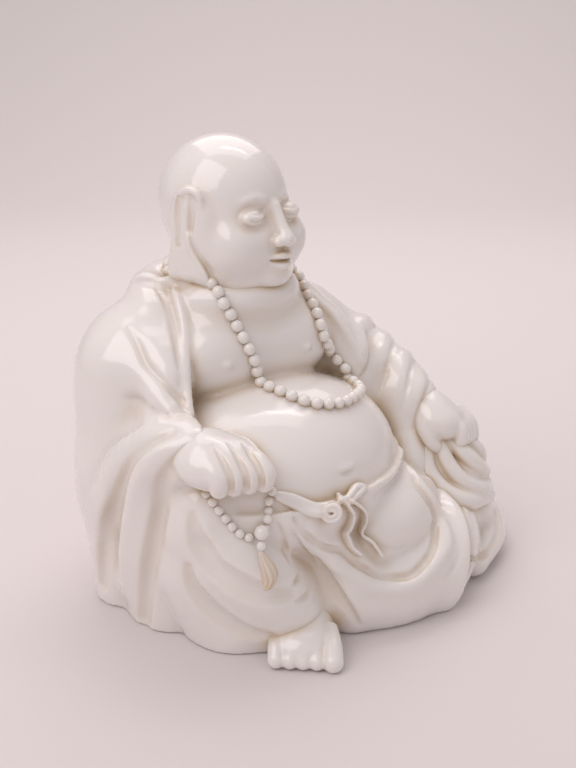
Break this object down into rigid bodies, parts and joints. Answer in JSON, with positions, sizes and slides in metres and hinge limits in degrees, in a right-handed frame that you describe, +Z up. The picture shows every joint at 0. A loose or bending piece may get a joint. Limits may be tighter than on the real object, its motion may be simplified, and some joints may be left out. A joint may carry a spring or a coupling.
{
  "type": "seated laughing monk figurine",
  "caption": "Glazed porcelain figurine of a seated, bald, round-bellied monk in an open robe with prayer beads.",
  "frame": {"origin": "centre of the box round the figurine, at the floor", "axes": "+Z up, the figure faces -Y, its left hand is on the +X side"},
  "size_m": [0.204, 0.1587, 0.2029],
  "materials": {
    "glazed_porcelain": "warm white porcelain under a clear gloss glaze that pools cream in the hollows"
  },
  "bodies": {
    "root": {"figurine": "glazed_porcelain"}
  },
  "joints": []
}
